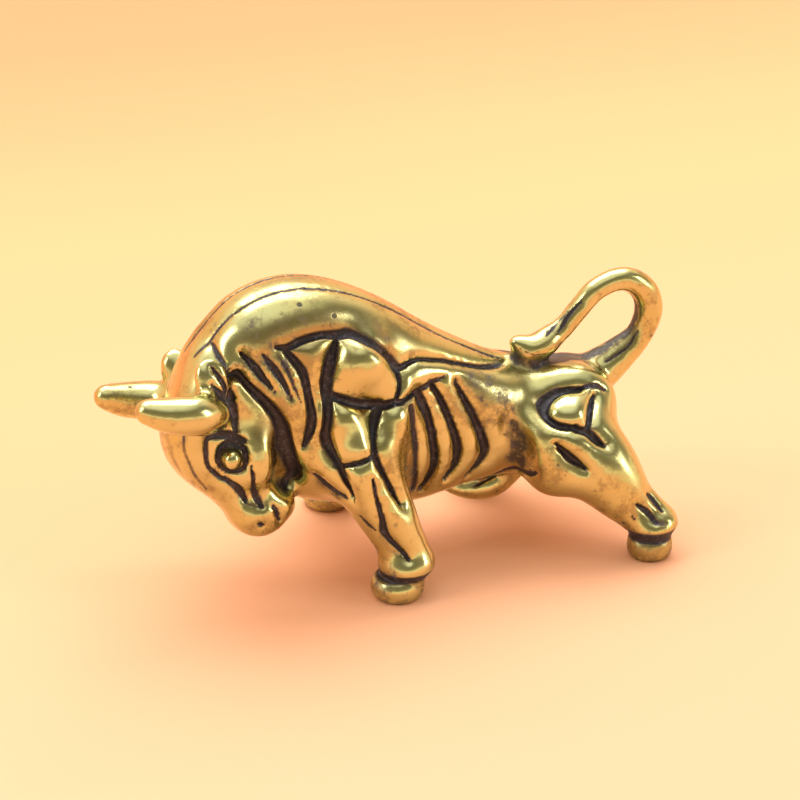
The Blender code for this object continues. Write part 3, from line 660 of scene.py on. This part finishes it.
def add_loft(stations, upright):
    """Add a lofted body to the mesh being edited: one ring, extruded and resized along the stations."""
    places = []
    for along, low, high, half_width, _ in stations:
        middle, half_height = (low + high) / 2, (high - low) / 2
        places.append(((middle, 0.0, along), (half_height, half_width, 1.0)) if upright
                      else ((along, 0.0, middle), (1.0, half_width, half_height)))
    centre, reach = places[0]
    bpy.ops.mesh.select_all(action="DESELECT")
    bpy.ops.mesh.primitive_circle_add(vertices=24, radius=1.0, fill_type="NGON", location=centre,
                                      rotation=(0.0, 0.0 if upright else math.radians(90), 0.0))
    bpy.ops.transform.resize(value=reach, center_override=centre)
    for (start, before), (end, after) in zip(places[:-1], places[1:]):
        step = Vector(end) - Vector(start)
        bpy.ops.mesh.extrude_region_move(TRANSFORM_OT_translate={"value": step})
        ratio = [new / old for new, old in zip(after, before)]
        bpy.ops.transform.resize(value=ratio, center_override=end)


def mirrored(point):
    """Return the point on the other side of the middle plane."""
    return (point[0], -point[1], *point[2:])


def start_lumps(name, centre, radii, tilt):
    """Start an object from its first ellipsoid and leave it in edit mode."""
    deselect_all()
    add_ball(centre, radii, tilt)
    lumps = bpy.context.object
    lumps.name = name
    bpy.ops.object.transform_apply(location=True, rotation=True, scale=True)
    bpy.ops.object.mode_set(mode="EDIT")
    return lumps


def body_lumps():
    """Rough out the barrel, the legs and the tail as overlapping lumps."""
    lumps = start_lumps("bull_casting", *HAUNCHES[0][:3])
    add_ball(*HAUNCHES[1][:3])
    add_loft(BODY_STATIONS, upright=False)
    for centre, radii, tilt, _ in FLANK_MASSES:
        add_ball(centre, radii, tilt)
        add_ball(mirrored(centre), radii, tilt)
    mirrored_foreleg = [mirrored(station) for station in FORELEG]
    for limb in (FORELEG, mirrored_foreleg, LEFT_HIND_LEG, RIGHT_HIND_LEG, TAIL, SHEATH):
        add_limb(limb)
    for centre, radii, tilt, _ in TUFT_MASSES:
        add_ball(centre, radii, tilt)
    for ankle, ankle_radius, hoof, hoof_radius in FEET:
        add_ball(ankle, (ankle_radius, ankle_radius, ANKLE_RISE), 0)
        add_ball((*hoof, HOOF_CENTRE_Z), (hoof_radius, hoof_radius, HOOF_RISE), 0)
    bpy.ops.object.mode_set(mode="OBJECT")
    return lumps


def head_lumps():
    """Rough out the head upright, then lean it over."""
    lumps = start_lumps("head_lumps", *HEAD_MASSES[0][:3])
    add_ball(mirrored(HEAD_MASSES[0][0]), *HEAD_MASSES[0][1:3])
    add_loft(HEAD_STATIONS, upright=True)
    for centre, radii, tilt, _ in HEAD_MASSES[1:]:
        add_ball(centre, radii, tilt)
        add_ball(mirrored(centre), radii, tilt)
    for limb in (HORN, [mirrored(station) for station in HORN]):
        add_limb(limb)
    bpy.ops.mesh.select_all(action="SELECT")
    bpy.ops.transform.rotate(value=HEAD_LEAN, orient_axis="X", center_override=HEAD_PIVOT)
    bpy.ops.object.mode_set(mode="OBJECT")
    return lumps


def rough_out():
    """Return the roughed-out bull as one object, selected and active."""
    body = body_lumps()
    head = head_lumps()
    deselect_all()
    head.select_set(True)
    body.select_set(True)
    bpy.context.view_layer.objects.active = body
    bpy.ops.object.join()
    bpy.ops.object.mode_set(mode="EDIT")
    bpy.ops.mesh.select_all(action="SELECT")
    bpy.ops.mesh.normals_make_consistent(inside=False)
    bpy.ops.object.mode_set(mode="OBJECT")
    return body


def remesh(thing, voxel):
    """Rebuild the active object's surface from voxels."""
    modifier = thing.modifiers.new("Voxels", "REMESH")
    modifier.mode = "VOXEL"
    modifier.voxel_size = voxel
    bpy.ops.object.modifier_apply(modifier=modifier.name)


def read_points(mesh):
    """Return the vertex positions of a mesh as an array."""
    values = np.empty(len(mesh.vertices) * 3)
    mesh.vertices.foreach_get("co", values)
    return values.reshape(-1, 3)


def read_normals(mesh):
    """Return the vertex normals of a mesh as an array."""
    values = np.empty(len(mesh.vertices) * 3)
    mesh.vertex_normals.foreach_get("vector", values)
    return values.reshape(-1, 3)


def write_points(mesh, points):
    """Move the vertices of a mesh."""
    mesh.vertices.foreach_set("co", points.ravel())
    mesh.update()


def read_edges(mesh):
    """Return the vertex pairs of a mesh's edges as an array."""
    values = np.empty(len(mesh.edges) * 2, dtype=int)
    mesh.edges.foreach_get("vertices", values)
    return values.reshape(-1, 2)


def neighbour_mean(values, edges):
    """Return the mean of each vertex's neighbours, column by column."""
    count = len(values)
    total = np.empty_like(values)
    for column in range(values.shape[1]):
        own = values[:, column]
        total[:, column] = (np.bincount(edges[:, 0], own[edges[:, 1]], count)
                            + np.bincount(edges[:, 1], own[edges[:, 0]], count))
    degree = np.bincount(edges.ravel(), minlength=count)
    return total / np.maximum(degree, 1)[:, None]


def relax(mesh):
    """Even out the spacing of the vertices."""
    points = read_points(mesh)
    write_points(mesh, (points + neighbour_mean(points, read_edges(mesh))) / 2)


def settle(mesh, rounds):
    """Draw the vertices along their normals onto the blended form."""
    for _ in range(rounds):
        points = read_points(mesh)
        step = np.clip(form_field(points), -SETTLE_REACH, SETTLE_REACH)
        write_points(mesh, points - read_normals(mesh) * step[:, None])


def refine_near_grooves(thing):
    """Subdivide the facets that a groove or an eyeball will cross."""
    mesh = thing.data
    points = read_points(mesh)
    shade = press_everything(points, read_normals(mesh))[:, 2]
    near = np.flatnonzero((shade > FINE_SHADE) | (eye_gap(points) < EYE_MARGIN))
    bpy.ops.object.mode_set(mode="EDIT")
    bpy.ops.mesh.select_all(action="DESELECT")
    bpy.ops.mesh.select_mode(type="VERT")
    shape = bmesh.from_edit_mesh(mesh)
    shape.verts.ensure_lookup_table()
    for index in near:
        shape.verts[index].select_set(True)
    shape.select_flush(True)
    bmesh.update_edit_mesh(mesh)
    bpy.ops.mesh.subdivide(number_cuts=1)
    bpy.ops.object.mode_set(mode="OBJECT")


def keep_values(mesh, name, values):
    """Store one value a vertex as a mesh attribute."""
    attribute = mesh.attributes.new(name, "FLOAT", "POINT")
    attribute.data.foreach_set("value", np.clip(values, 0, 1).astype(np.float32))


def eye_gap(points):
    """Distance to the nearer eyeball."""
    return mass_field(to_left(to_head_frame(points)), *EYEBALL, 0)


def carve(mesh, carving):
    """Press the grooves into the settled form, raise the eyeballs and keep where the grooves' patina and
    the patches of painted shade and darker metal lie.
    """
    points = read_points(mesh)
    normals = read_normals(mesh)
    edges = read_edges(mesh)
    pressed = press_everything(points, normals)
    shade_and_stain = shade_and_stain_strength(points)
    shoulders = pressed[:, 1:2]
    for _ in range(SHOULDER_ROUNDS):
        shoulders = (shoulders + neighbour_mean(shoulders, edges)) / 2
    points = points - normals * (carving * (pressed[:, 0:1] + shoulders))
    soft = (1 - smooth_step(pressed[:, 2], *SOFTEN_FADE))[:, None]
    for _ in range(SOFTEN_ROUNDS):
        points = points + soft * (neighbour_mean(points, edges) - points) / 2
    for _ in range(EYE_ROUNDS):
        points += normals * np.clip(-eye_gap(points), 0, EYE_LIFT)[:, None]
    write_points(mesh, points)
    keep_values(mesh, "groove", pressed[:, 2] * smooth_step(eye_gap(points), *EYE_FADE))
    keep_values(mesh, "shade_and_stain", shade_and_stain)


def keep_hollows(mesh, name, rounds, strength):
    """Keep how hollow the surface is against its own smoothed shape, 0.5 where it is flat."""
    points = read_points(mesh)
    edges = read_edges(mesh)
    smoothed = points
    for _ in range(rounds):
        smoothed = (smoothed + neighbour_mean(smoothed, edges)) / 2
    rise = ((smoothed - points) * read_normals(mesh)).sum(axis=1)
    keep_values(mesh, name, 0.5 + strength * rise)


def cut_soles(thing):
    """Cut the hooves flat at the ground and close the soles."""
    bpy.ops.object.mode_set(mode="EDIT")
    bpy.ops.mesh.select_all(action="SELECT")
    bpy.ops.mesh.bisect(plane_co=(0, 0, 0), plane_no=(0, 0, -1), use_fill=True, clear_outer=True,
                        threshold=1e-4)
    bpy.ops.mesh.select_all(action="SELECT")
    bpy.ops.mesh.quads_convert_to_tris(quad_method="BEAUTY", ngon_method="BEAUTY")
    bpy.ops.object.mode_set(mode="OBJECT")


def fit_to_part(mesh):
    """Bring the mesh to metres, at the part's length and place."""
    points = read_points(mesh)
    middle = (points.min(axis=0) + points.max(axis=0)) / 2
    middle[2] = 0
    scale = (CAD_HIGH.x - CAD_LOW.x) / np.ptp(points[:, 0])
    place = np.array(((CAD_LOW.x + CAD_HIGH.x) / 2, (CAD_LOW.y + CAD_HIGH.y) / 2, CAD_LOW.z))
    write_points(mesh, (points - middle) * scale + place)


class Wire:
    """A socket of a finish, on which Python arithmetic adds Math nodes."""

    def __init__(self, finish, socket):
        self.finish = finish
        self.socket = socket

    def math(self, operation, first, second):
        """Add a Math node on two values."""
        return self.finish.node("ShaderNodeMath", {"operation": operation}, {0: first, 1: second})

    def __add__(self, other):
        return self.math("ADD", self, other)

    def __mul__(self, other):
        return self.math("MULTIPLY", self, other)

    def __sub__(self, other):
        return self.math("SUBTRACT", self, other)

    def __rsub__(self, other):
        return self.math("SUBTRACT", other, self)

    __radd__ = __add__


class Finish:
    """A material or world whose nodes are added one at a time."""

    def __init__(self, tree):
        self.tree = tree

    def connect(self, socket, value):
        """Link a wire to a socket, or set the socket's own value."""
        if isinstance(value, Wire):
            self.tree.links.new(value.socket, socket)
        else:
            socket.default_value = value

    def node(self, kind, settings=None, inputs=None, output=0):
        """Add a node with its settings and inputs, and return one of its outputs."""
        node = self.tree.nodes.new(kind)
        for name, value in (settings or {}).items():
            if name == "stops":
                for index, (position, colour) in enumerate(value):
                    if index > 1:
                        node.color_ramp.elements.new(position)
                    node.color_ramp.elements[index].position = position
                    node.color_ramp.elements[index].color = colour
            else:
                setattr(node, name, value)
        for name, value in (inputs or {}).items():
            self.connect(node.inputs[name], value)
        return Wire(self, node.outputs[output])

    def attribute(self, name):
        """Read a value that the mesh keeps for each vertex."""
        return self.node("ShaderNodeAttribute", {"attribute_name": name}, output="Fac")

    def noise(self, place, scale, detail):
        """Add a noise whose scale is in ripples a metre."""
        return self.node("ShaderNodeTexNoise", None, {"Vector": place, "Scale": scale, "Detail": detail})

    def rise(self, value, low, high):
        """Add a smooth step from 0 at low to 1 at high."""
        return self.node("ShaderNodeMapRange", {"interpolation_type": "SMOOTHSTEP"},
                         {"Value": value, "From Min": low, "From Max": high})

    def largest(self, first, second):
        """Add the larger of two values."""
        return self.node("ShaderNodeMath", {"operation": "MAXIMUM"}, {0: first, 1: second})

    def mix(self, factor, first, second):
        """Add a mix of two colours."""
        return self.node("ShaderNodeMix", {"data_type": "RGBA"}, {0: factor, 6: first, 7: second},
                         output=2)


def aged_brass(colours):
    """Return cast brass, polished where it stands out, dark with patina in its grooves and with painted
    shade in its creases, inside the tail's loop and under the tuft and chest.
    """
    material = bpy.data.materials.new("aged_brass")
    material.use_nodes = True
    tree = material.node_tree
    finish = Finish(tree)
    shader = tree.nodes["Principled BSDF"]
    place = finish.node("ShaderNodeTexCoord", output="Object")
    groove, hollow, broad_hollow, shade_and_stain = (
        finish.attribute(name) for name in ("groove", "hollow", "broad_hollow", "shade_and_stain"))

    broad = finish.noise(place, BROAD_SCALE, 3.0)
    wobble = finish.noise(place, WOBBLE_SCALE, 1.0)
    mottle = finish.noise(place, MOTTLE_SCALE, 5.0)
    grain = finish.noise(place, GRAIN_SCALE, 4.0)
    pits = finish.node("ShaderNodeTexVoronoi", None, {"Vector": place, "Scale": PIT_SCALE})
    ragged = mottle - 0.5
    rough = grain - 0.5

    # dark patina lies in the grooves; tight hollows take patina and painted shade in their creases; the
    # patches add painted shade inside the tail's loop and under the tuft and chest, and darker metal
    # elsewhere; broad hollows take dark specks
    in_groove = finish.rise(groove + ragged * 0.7 + rough * 0.3, 0.30, 0.72)
    in_hollow = finish.rise(hollow + ragged * 0.4, 0.66, 0.90)
    shaded_and_stained = finish.rise(shade_and_stain + ragged * 1.5 + rough * 0.8, 0.42, 0.90) * 0.9
    speckle = finish.rise(broad_hollow * 1.1 + ragged * 1.5 + rough * 0.8, 0.88, 1.14) * 0.8
    pitted = (1 - finish.rise(pits, 0.09, 0.15)) * finish.rise(broad, 0.50, 0.62)
    dark = finish.largest(in_groove, in_hollow)
    patina_and_shade = finish.largest(finish.largest(dark, shaded_and_stained), finish.largest(speckle, pitted * 0.85))

    # the polished metal warms and dulls towards the grooves and hollows and under a thin film of tarnish,
    # and a little more under the painted shade of the patches; the patina has a bluish bloom
    metal = finish.mix(finish.rise(broad, 0.38, 0.66), colours.brass[:], colours.warm_brass[:])
    near_groove = finish.rise(groove + hollow * 0.7 + shade_and_stain * 0.3 + ragged * 0.3, 0.30, 0.80)
    film = finish.rise(broad + ragged * 0.9 + rough * 0.5 + shade_and_stain * 0.5, 0.50, 0.78)
    worn_and_shaded = finish.mix(finish.largest(near_groove * 0.8, film * 0.55), metal, colours.tarnish[:])
    bloom = finish.rise(grain + ragged * 0.6, 0.52, 0.68)
    crust_and_shade = finish.mix(bloom, colours.patina_and_shade[:], colours.bloom[:])
    finish.connect(shader.inputs["Base Color"], finish.mix(patina_and_shade, worn_and_shaded, crust_and_shade))
    finish.connect(shader.inputs["Metallic"], 1 - patina_and_shade * 0.7)
    finish.connect(shader.inputs["Roughness"],
                   0.12 + grain * 0.10 + broad * 0.08 + film * 0.08 + near_groove * 0.06 + patina_and_shade * 0.18)
    height = (1 - patina_and_shade) * 0.5 + mottle * 0.22 + grain * 0.09 - pitted * 0.9 + wobble * 2.0
    normal = finish.node("ShaderNodeBump", None,
                         {"Strength": 0.30, "Distance": 0.00006, "Height": height})
    finish.connect(shader.inputs["Normal"], normal)
    return material


def floor_finish(colours):
    """Return the smooth pale sheet that the figurine stands on."""
    material = bpy.data.materials.new("pale_floor")
    material.use_nodes = True
    tree = material.node_tree
    finish = Finish(tree)
    shader = tree.nodes["Principled BSDF"]
    place = finish.node("ShaderNodeTexCoord", output="Object")
    along = finish.node("ShaderNodeSeparateXYZ", None, {0: place}, output="Y")
    drift = (finish.noise(place, 9.0, 1.0) - 0.5) * 0.03
    sheet = finish.mix(finish.rise(along + drift, -0.05, 0.08), colours.floor_near[:], colours.floor[:])
    finish.connect(shader.inputs["Base Color"],
                   finish.mix(finish.rise(along + drift, 0.06, 0.14), sheet, colours.floor_warm[:]))
    shader.inputs["Roughness"].default_value = 0.75
    shader.inputs["Specular IOR Level"].default_value = 0.2
    return material


class BullCastingSettings(bpy.types.PropertyGroup):
    """Sizes and colours of the casting."""

    carving: bpy.props.FloatProperty(
        name="Carving", description="Depth of the carving against its drawn depth",
        default=1.0, min=0.2, max=1.5)
    brass: bpy.props.FloatVectorProperty(
        name="Brass", description="Colour of the polished metal", size=4, subtype="COLOR",
        default=(0.56, 0.54, 0.26, 1.0), min=0, max=1)
    warm_brass: bpy.props.FloatVectorProperty(
        name="Warm brass", description="Colour of the metal where it is warmer", size=4,
        subtype="COLOR", default=(0.53, 0.48, 0.20, 1.0), min=0, max=1)
    tarnish: bpy.props.FloatVectorProperty(
        name="Tarnish", description="Colour of the metal beside a groove", size=4,
        subtype="COLOR", default=(0.22, 0.165, 0.085, 1.0), min=0, max=1)
    # this dark colour also paints the shade in creases, inside the tail's loop and under the tuft and chest
    patina_and_shade: bpy.props.FloatVectorProperty(
        name="Patina", description="Colour of the dark patina in the grooves", size=4,
        subtype="COLOR", default=(0.026, 0.021, 0.028, 1.0), min=0, max=1)
    bloom: bpy.props.FloatVectorProperty(
        name="Bloom", description="Colour of the bluish bloom on the patina", size=4,
        subtype="COLOR", default=(0.075, 0.068, 0.090, 1.0), min=0, max=1)


class BullStageSettings(bpy.types.PropertyGroup):
    """Size and colours of the floor."""

    floor_radius: bpy.props.FloatProperty(
        name="Floor radius", description="Radius of the floor", default=2.0, min=0.2,
        unit="LENGTH", subtype="DISTANCE")
    floor_near: bpy.props.FloatVectorProperty(
        name="Near floor", description="Colour of the floor close to the camera", size=4,
        subtype="COLOR", default=(0.93, 0.48, 0.30, 1.0), min=0, max=1)
    floor: bpy.props.FloatVectorProperty(
        name="Floor", description="Colour of the floor", size=4, subtype="COLOR",
        default=(0.93, 0.445, 0.220, 1.0), min=0, max=1)
    floor_warm: bpy.props.FloatVectorProperty(
        name="Warm floor", description="Colour of the floor far behind the bull", size=4,
        subtype="COLOR", default=(0.93, 0.32, 0.155, 1.0), min=0, max=1)


class BULL_OT_casting(bpy.types.Operator):
    """Model the bull casting and finish it in aged brass"""

    bl_idname = "bull.casting"
    bl_label = "Bull casting"

    def execute(self, context):
        thing = rough_out()
        mesh = thing.data
        remesh(thing, ROUGH_VOXEL)
        settle(mesh, 4)
        remesh(thing, FINE_VOXEL)
        settle(mesh, 3)
        relax(mesh)
        settle(mesh, 2)
        refine_near_grooves(thing)
        settle(mesh, 2)
        carve(mesh, context.scene.bull_casting.carving)
        cut_soles(thing)
        keep_hollows(mesh, "hollow", *TIGHT_HOLLOWS)
        keep_hollows(mesh, "broad_hollow", *BROAD_HOLLOWS)
        fit_to_part(mesh)
        mesh.materials.clear()
        mesh.materials.append(aged_brass(context.scene.bull_casting))
        bpy.ops.object.shade_smooth_by_angle(angle=SMOOTH_ANGLE)
        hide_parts("bull")
        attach(thing, "root")
        return {"FINISHED"}


def area_light(name, place, aim, size, power, colour):
    """Add a soft rectangular light at a place, turned to its aim."""
    bpy.ops.object.light_add(type="AREA", location=place)
    light = bpy.context.object
    light.name = name
    light.rotation_euler = (Vector(aim) - Vector(place)).to_track_quat("-Z", "Y").to_euler()
    light.data.shape = "RECTANGLE"
    light.data.size, light.data.size_y = size
    light.data.energy = power
    light.data.color = colour


def studio_air():
    """Light the scene from all round: olive before the bull, peach behind it, bright overhead."""
    world = bpy.data.worlds.new("studio_air")
    bpy.context.scene.world = world
    world.use_nodes = True
    finish = Finish(world.node_tree)
    direction = finish.node("ShaderNodeTexCoord", output="Generated")
    depth = finish.node("ShaderNodeSeparateXYZ", None, {0: direction}, output="Y")
    height = finish.node("ShaderNodeSeparateXYZ", None, {0: direction}, output="Z")
    before = finish.node("ShaderNodeValToRGB", {"stops": AIR_BEFORE}, {0: height})
    behind = finish.node("ShaderNodeValToRGB", {"stops": AIR_BEHIND}, {0: height})
    colour = finish.mix(finish.rise(depth, -0.15, 0.35), before, behind)
    background = world.node_tree.nodes["Background"]
    finish.connect(background.inputs["Color"], colour)
    background.inputs["Strength"].default_value = AIR_STRENGTH


class BULL_OT_stage(bpy.types.Operator):
    """Lay the floor and set up the lights and the camera"""

    bl_idname = "bull.stage"
    bl_label = "Studio stage"

    def execute(self, context):
        settings = context.scene.bull_stage
        deselect_all()
        bpy.ops.mesh.primitive_circle_add(vertices=96, radius=settings.floor_radius, fill_type="NGON",
                                          location=(0.0, 0.0, 0.0))
        floor = context.object
        floor.name = "studio_floor"
        floor.data.materials.append(floor_finish(settings))
        for light in LIGHTS:
            area_light(*light)
        studio_air()
        bpy.ops.object.camera_add(location=CAMERA_PLACE)
        camera = context.object
        camera.name = "studio_camera"
        camera.rotation_euler = Vector(CAMERA_AIM).to_track_quat("-Z", "Y").to_euler()
        camera.data.lens = CAMERA_LENS
        camera.data.clip_start = CAMERA_CLIP_START
        context.scene.camera = camera
        context.scene.view_settings.view_transform = "Standard"
        return {"FINISHED"}


class BULL_PT_figurine(bpy.types.Panel):
    """Lists the pieces of the bull figurine and its stage"""

    bl_idname = "BULL_PT_figurine"
    bl_label = "Bull figurine"
    bl_space_type = "VIEW_3D"
    bl_region_type = "UI"
    bl_category = "Bull"

    def draw(self, context):
        for operator, settings in ((BULL_OT_casting, context.scene.bull_casting),
                                   (BULL_OT_stage, context.scene.bull_stage)):
            box = self.layout.box()
            for name in settings.bl_rna.properties.keys():
                if name not in ("rna_type", "name"):
                    box.prop(settings, name)
            box.operator(operator.bl_idname)


CLASSES = (BullCastingSettings, BullStageSettings, BULL_OT_casting, BULL_OT_stage, BULL_PT_figurine)


def register():
    """Register the classes and hang their settings on the scene."""
    for kind in CLASSES:
        bpy.utils.register_class(kind)
    bpy.types.Scene.bull_casting = bpy.props.PointerProperty(type=BullCastingSettings)
    bpy.types.Scene.bull_stage = bpy.props.PointerProperty(type=BullStageSettings)


def unregister():
    """Take the settings and the classes away again."""
    del bpy.types.Scene.bull_stage
    del bpy.types.Scene.bull_casting
    for kind in reversed(CLASSES):
        bpy.utils.unregister_class(kind)


def main():
    """Make the figurine and its stage."""
    register()
    bpy.ops.bull.casting()
    bpy.ops.bull.stage()


if __name__ == "__main__":
    main()
